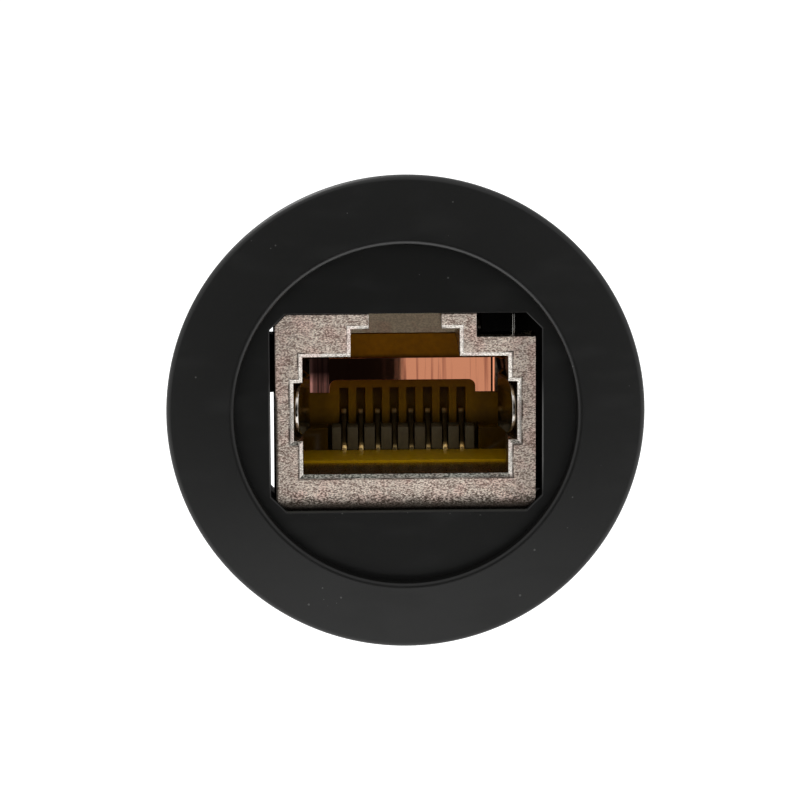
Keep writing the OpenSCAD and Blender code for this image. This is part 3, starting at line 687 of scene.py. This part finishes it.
def clean(piece):
    bm = bmesh.new()
    bm.from_mesh(piece.data)
    bmesh.ops.remove_doubles(bm, verts=bm.verts, dist=WELD)
    bmesh.ops.dissolve_degenerate(bm, edges=bm.edges, dist=WELD)
    bm.to_mesh(piece.data)
    bm.free()


print("turning tools ready")

# %% [markdown]
# ## The bezel's face
# The flange slopes gently from its raised rim to its edge, and the disc lies below the rim. The opening is cut by a
# block that flares at the front and so leaves the thin bevel round the opening. The block is lofted: the same
# outline at three depths, bridged, with both ends filled. Faces that look inward get the matt finish.

# %% Bezel face
FACE_ROUNDS, INWARD, LEVEL = (0.35, 0.3, 1.28), 0.85, 0.9999


def opening_loop(bm, y, grow):
    x, z, c = OPEN_X + grow, OPEN_Z + grow, OPEN_CHAMFER
    corners = [(-x, c - z), (c - x, -z), (x - c, -z), (x, c - z), (x, z - c), (x - c, z), (c - x, z), (-x, z - c)]
    verts = [bm.verts.new((px + OPEN_SHIFT, y, pz)) for px, pz in corners]
    return [bm.edges.new(pair) for pair in zip(verts, verts[1:] + verts[:1])]


bm = bmesh.new()
section = chain(bm, [(0, DISC_Y), (RIM_R, DISC_Y), (RIM_R, RIM_Y), (FLANGE_R, EDGE_Y), (FLANGE_R, FLANGE_BACK),
                     (BARREL_R, FLANGE_BACK), (BARREL_R, DISC_BACK), (0, DISC_BACK)])
round_corners(bm, section[2:5], FACE_ROUNDS)
turn(bm)
bezel_face = to_object(bm, "bezel_face")

bm = bmesh.new()
loops = [opening_loop(bm, 1, 0), opening_loop(bm, DISC_Y + OPEN_BEVEL, 0),
         opening_loop(bm, DISC_Y - OPEN_BEVEL, 2 * OPEN_BEVEL)]
for near_loop, far_loop in zip(loops, loops[1:]):
    bmesh.ops.bridge_loops(bm, edges=near_loop + far_loop)
bmesh.ops.holes_fill(bm, edges=loops[0] + loops[-1])
bmesh.ops.recalc_face_normals(bm, faces=bm.faces)
boolean(bezel_face, to_object(bm, "opening"), "DIFFERENCE")
for face in bezel_face.data.polygons:
    inward = -face.normal.dot(Vector((face.center.x, 0, face.center.z)).normalized())
    face.material_index = int(inward > INWARD)
finish_piece(bezel_face, [black_plastic, black_recess], "bezel_body")
for face in bezel_face.data.polygons:
    in_opening = face.material_index == 1 and face.center.xz.length < (RIM_R - 0.2) * MM
    face.use_smooth = abs(face.normal.y) < LEVEL and not in_opening
print(bezel_face.name, len(bezel_face.data.polygons), "faces")

# %% [markdown]
# ## Thread
# A screw thread is a section that climbs while it turns: the same spin, with a step along the axis at every turn of
# the handle. One long screw is enough for both mating pieces. Cut down to a ring it gives the ridges of the barrel,
# and taken away from the nut it leaves the matching groove. The ring tapers at both ends, so the ridge runs out.

# %% Thread
THREAD_PITCH, THREAD_CREST, THREAD_STEPS, THREAD_MORE = 1.5, 10.9, 128, 3
THREAD_START, THREAD_END, TAPER_R, TAPER_START, TAPER_END = 0.4, BARREL_END - 0.1, 11.5, 1.8, 10.7
SUNK, PLAY, ARC_Z = 0.2, 0.05, 7.82


def screw(root, crest):
    bm = bmesh.new()
    turns = math.ceil(BARREL_END / THREAD_PITCH) + THREAD_MORE
    y, p = -2 * THREAD_PITCH, THREAD_PITCH
    chain(bm, [(root, y), (root, y + 0.28 * p), (crest, y + 0.5 * p), (crest, y + 0.72 * p), (root, y + p)])
    bmesh.ops.spin(bm, geom=bm.verts[:] + bm.edges[:], cent=(0, 0, 0), axis=(0, 1, 0),
                   dvec=(0, p / THREAD_STEPS, 0), angle=2 * math.pi * turns, steps=THREAD_STEPS * turns)
    bmesh.ops.remove_doubles(bm, verts=bm.verts, dist=0.002)
    bmesh.ops.holes_fill(bm, edges=[e for e in bm.edges if e.is_boundary])
    bmesh.ops.recalc_face_normals(bm, faces=bm.faces)
    return to_object(bm, "screw")


def ring(points):
    bm = bmesh.new()
    chain(bm, points, closed=True)
    turn(bm)
    return to_object(bm, "ring")


def rod(radius, low, high):
    bm = bmesh.new()
    chain(bm, [(0, low), (radius, low), (radius, high), (0, high)])
    turn(bm)
    return to_object(bm, "rod")


def box(low, high):
    bm = bmesh.new()
    bmesh.ops.create_cube(bm, size=1)
    bmesh.ops.scale(bm, vec=Vector(high) - Vector(low), verts=bm.verts)
    bmesh.ops.translate(bm, vec=(Vector(high) + Vector(low)) / 2, verts=bm.verts)
    return to_object(bm, "box")


thread = ring([(BARREL_R - SUNK, THREAD_START), (BARREL_R, THREAD_START), (TAPER_R, TAPER_START),
               (TAPER_R, TAPER_END), (BARREL_R, THREAD_END), (BARREL_R - SUNK, THREAD_END)])
boolean(thread, screw(BARREL_R, THREAD_CREST), "INTERSECT")
boolean(thread, box((-20, -1, -ARC_Z), (20, 20, ARC_Z)), "DIFFERENCE")
print(thread.name, len(thread.data.polygons), "faces")

# %% [markdown]
# ## Barrel
# Behind the disc the bezel goes on as a barrel in two arcs, with the snap lugs and guide ribs inside. The CAD solid
# has all of that, but its thread is a row of plain rings. So its copy is cut off at the back of the disc, turned down
# to the root of the thread and joined with the screw thread.

# %% Barrel
bm = cad_copy("bezel_body")
cut(bm, (0, DISC_BACK + 0.02, 0), (0, 1, 0), clear_inner=True)
rim_edges = [e for e in bm.edges if e.is_boundary]
bmesh.ops.triangle_fill(bm, edges=rim_edges, use_beauty=True, use_dissolve=True)
bmesh.ops.recalc_face_normals(bm, faces=bm.faces)
barrel = to_object(bm, "bezel_barrel")
boolean(barrel, rod(BARREL_R - SUNK / 2, DISC_BACK - 1, BARREL_END + 1), "INTERSECT")
boolean(barrel, thread, "UNION")
clean(barrel)
for face in barrel.data.polygons:
    face.material_index = int(face.center.xz.length < BORE_R + PLAY)
finish_piece(barrel, [black_plastic, black_recess])
print(barrel.name, len(barrel.data.polygons), "faces")

# %% [markdown]
# ## Nut and gasket
# The ring nut is turned with round outer corners and has twelve round grip notches, which a wheel of rods cuts out.
# Then the screw leaves its thread in the bore. The gasket is a plain rubber ring with round corners.

# %% Nut and gasket
NUT_BORE, NUT_R, NUT_FRONT, NUT_BACK, NUT_ROUNDS = BARREL_R + PLAY, 12.8, 2.5, 6.5, (0.22, 0.22)
NOTCH_R, NOTCHES = 1.1, 12
GASKET_IN, GASKET_OUT, GASKET_ROUNDS = 11, 13.2, (0.15, 0.3, 0.3, 0.15)

bm = bmesh.new()
section = chain(bm, [(NUT_BORE, NUT_FRONT), (NUT_R, NUT_FRONT), (NUT_R, NUT_BACK), (NUT_BORE, NUT_BACK)], closed=True)
round_corners(bm, section[1:3], NUT_ROUNDS, segments=3)
turn(bm)
nut = to_object(bm, "ring_nut")
bm = bmesh.new()
upright = Matrix.Translation((NUT_R + NOTCH_R / 2, NUT_BACK, 0)) @ Matrix.Rotation(math.radians(90), 4, "X")
for notch in range(NOTCHES):
    place = Matrix.Rotation(2 * math.pi * notch / NOTCHES, 4, "Y") @ upright
    bmesh.ops.create_cone(bm, cap_ends=True, segments=24, radius1=NOTCH_R, radius2=NOTCH_R, depth=20, matrix=place)
boolean(nut, to_object(bm, "notches"), "DIFFERENCE")
boolean(nut, screw(BARREL_R - SUNK, THREAD_CREST + PLAY), "DIFFERENCE")
clean(nut)
finish_piece(nut, [black_plastic], "panel_nut")

bm = bmesh.new()
section = chain(bm, [(GASKET_IN, FLANGE_BACK), (GASKET_OUT, FLANGE_BACK), (GASKET_OUT, 0), (GASKET_IN, 0)], closed=True)
round_corners(bm, section, GASKET_ROUNDS, segments=4)
turn(bm)
gasket = finish_piece(to_object(bm, "gasket_ring"), [gasket_rubber], "panel_gasket")
print(nut.name, len(nut.data.polygons), gasket.name, len(gasket.data.polygons), "faces")

# %% [markdown]
# ## The stage
# A white floor lies some way below the jack, and the world is white on all sides. In front of the jack the studio
# gets darker towards the lens: a large screen, black in the middle and pale at its rim, keeps the black face black
# and the socket dim. One small white card lights the right half of the copper plate, as in the photo. Screen and
# card are hidden from the camera, so they only work through light and reflections.

# %% Floor, screen and card
FLOOR_Z, FLOOR_GLOW = -35, 0.4
SCREEN_Y, SCREEN_DARK_Z, SCREEN_DARK, SCREEN_PALE, SCREEN_FADE = -150, -27, 0.004, 1.1, (55, 165)
CARD_Y, CARD_GLOW = SCREEN_Y + 1, 0.62


def seen_directly(tree):
    path = put(tree, "LightPath").outputs
    mirrored = maths(tree, "MAXIMUM", path["Is Camera Ray"], path["Is Glossy Ray"])
    return maths(tree, "MAXIMUM", mirrored, path["Is Transmission Ray"])


def stage_card(name, low, high, camera_sees):
    bm = bmesh.new()
    bmesh.ops.create_grid(bm, x_segments=1, y_segments=1, size=0.5)
    spans = Vector(high) - Vector(low)
    if spans.y == 0:
        bmesh.ops.rotate(bm, cent=(0, 0, 0), matrix=Matrix.Rotation(math.radians(90), 3, "X"), verts=bm.verts)
    bmesh.ops.scale(bm, vec=[s or 1 for s in spans], verts=bm.verts)
    bmesh.ops.translate(bm, vec=(Vector(high) + Vector(low)) / 2, verts=bm.verts)
    bmesh.ops.scale(bm, vec=(MM,) * 3, verts=bm.verts)
    card = to_object(bm, name)
    material = bpy.data.materials.new(name)
    material.use_nodes = True
    card.data.materials.append(material)
    card.visible_camera = camera_sees
    card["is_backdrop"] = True
    tree = material.node_tree
    glow = put(tree, "Emission")
    tree.links.new(glow.outputs[0], tree.nodes["Material Output"].inputs["Surface"])
    return tree, glow


tree, glow = stage_card("floor", (-1500, -64, FLOOR_Z), (1500, 2600, FLOOR_Z), True)
shader = tree.nodes["Principled BSDF"]
shader.inputs["Base Color"].default_value = (0.88, 0.88, 0.88, 1)
shader.inputs["Roughness"].default_value = 0.9
shader.inputs["Specular IOR Level"].default_value = 0
glow.inputs["Strength"].default_value = FLOOR_GLOW
lit = put(tree, "AddShader", {0: shader.outputs[0], 1: glow.outputs[0]})
pick = put(tree, "MixShader", {0: seen_directly(tree), 1: shader.outputs[0], 2: lit.outputs[0]})
tree.links.new(pick.outputs[0], tree.nodes["Material Output"].inputs["Surface"])

tree, glow = stage_card("dark_screen", (-260, SCREEN_Y, -130), (260, SCREEN_Y, 230), False)
coords = put(tree, "TexCoord").outputs["Object"]
spread = vector_maths(tree, "DISTANCE", coords, Vector((0, SCREEN_Y, SCREEN_DARK_Z)) * MM)["Value"]
fade = ramp(tree, spread, *SCREEN_FADE, SCREEN_DARK, SCREEN_PALE, smooth=True)
tree.links.new(fade, glow.inputs["Strength"])

tree, glow = stage_card("white_card", (3.2, CARD_Y, -38), (27, CARD_Y, -14), False)
glow.inputs["Strength"].default_value = CARD_GLOW

# %% [markdown]
# ## World and lamp
# A white world gives the even light of a light tent, in which a colour looks as it is written. One large soft box
# above and behind the left shoulder of the jack adds the soft shadow on the floor. Where the tent only lights the jack
# and isn't seen or mirrored, it is a quarter dimmer.

# %% World and soft box
TENT_DIM, TENT_SEEN = 0.75, 1.0
BOX_PLACE, BOX_SIZE, BOX_ENERGY = Vector((-220, 160, 420)), 300, 1.5

world = bpy.data.worlds.new("light_tent")
bpy.context.scene.world = world
world.use_nodes = True
tree = world.node_tree
tent = tree.nodes["Background"].inputs
tent["Color"].default_value = (1, 1, 1, 1)
tree.links.new(rescale(tree, seen_directly(tree), TENT_DIM, TENT_SEEN), tent["Strength"])

box_data = bpy.data.lights.new("soft_box", "AREA")
box_data.shape, box_data.size, box_data.energy = "SQUARE", BOX_SIZE * MM, BOX_ENERGY
soft_box = bpy.data.objects.new("soft_box", box_data)
soft_box.location = BOX_PLACE * MM
soft_box.rotation_euler = (-soft_box.location).to_track_quat("-Z", "Y").to_euler()
bpy.context.scene.collection.objects.link(soft_box)
bpy.context.scene.view_settings.view_transform = "Standard"
print("world:", world.name, "lamp:", soft_box.name)

# %% [markdown]
# ## Size of the dressed model
# The box round the shown pieces of the dressed model is printed in millimetres: dressing never changes the size of the
# part.

# %% Sizes and finish
low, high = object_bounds()
print("visual size in mm:", [round(s / MM, 2) for s in high - low])
